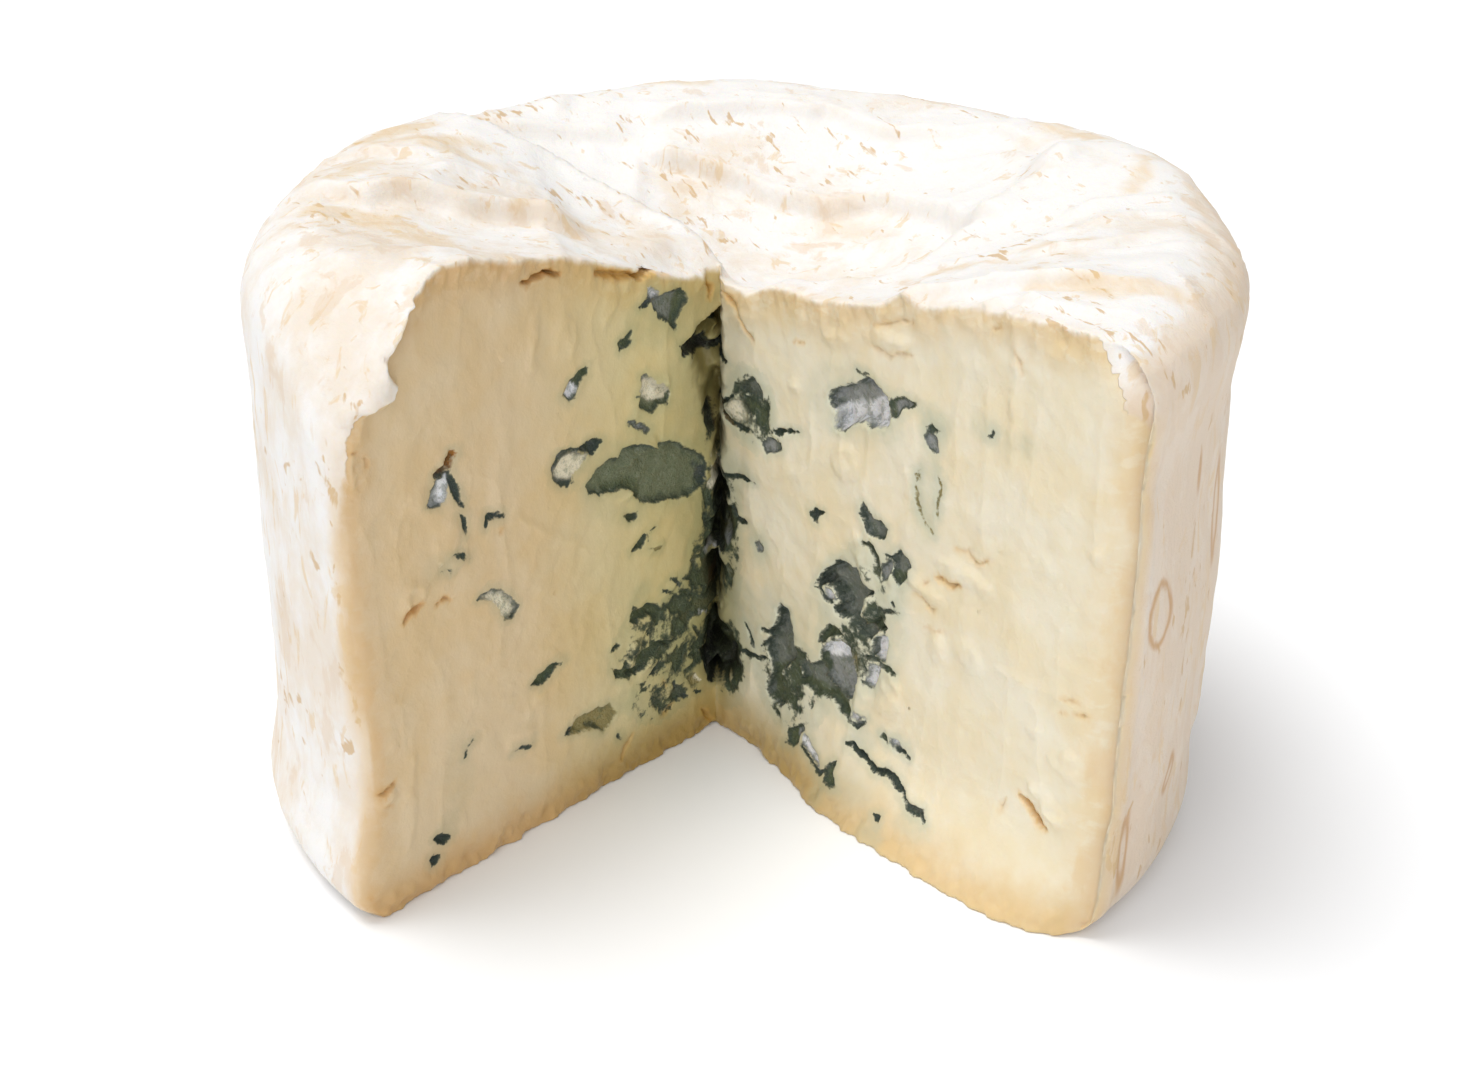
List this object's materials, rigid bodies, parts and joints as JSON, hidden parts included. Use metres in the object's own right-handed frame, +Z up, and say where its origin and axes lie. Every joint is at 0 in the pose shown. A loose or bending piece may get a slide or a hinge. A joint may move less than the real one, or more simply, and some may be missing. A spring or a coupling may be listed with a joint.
{
  "type": "blue cheese wheel",
  "caption": "Small tall wheel of white-rinded, blue-veined soft cheese, with one wedge cut out of its side down to the base.",
  "frame": {"origin": "middle of the bounding box, on the plane that the wheel stands on", "axes": "+Z up along the wheel's axis, the cut-out wedge opens towards -Y, +X across it from the left cut face to the right one"},
  "size_m": [0.102, 0.085, 0.0671],
  "materials": {
    "rind": "soft white bloomy rind with tan flecks, over cream paste veined with grey-green mould"
  },
  "bodies": {
    "root": {"cheese_wheel": "rind"}
  },
  "joints": []
}
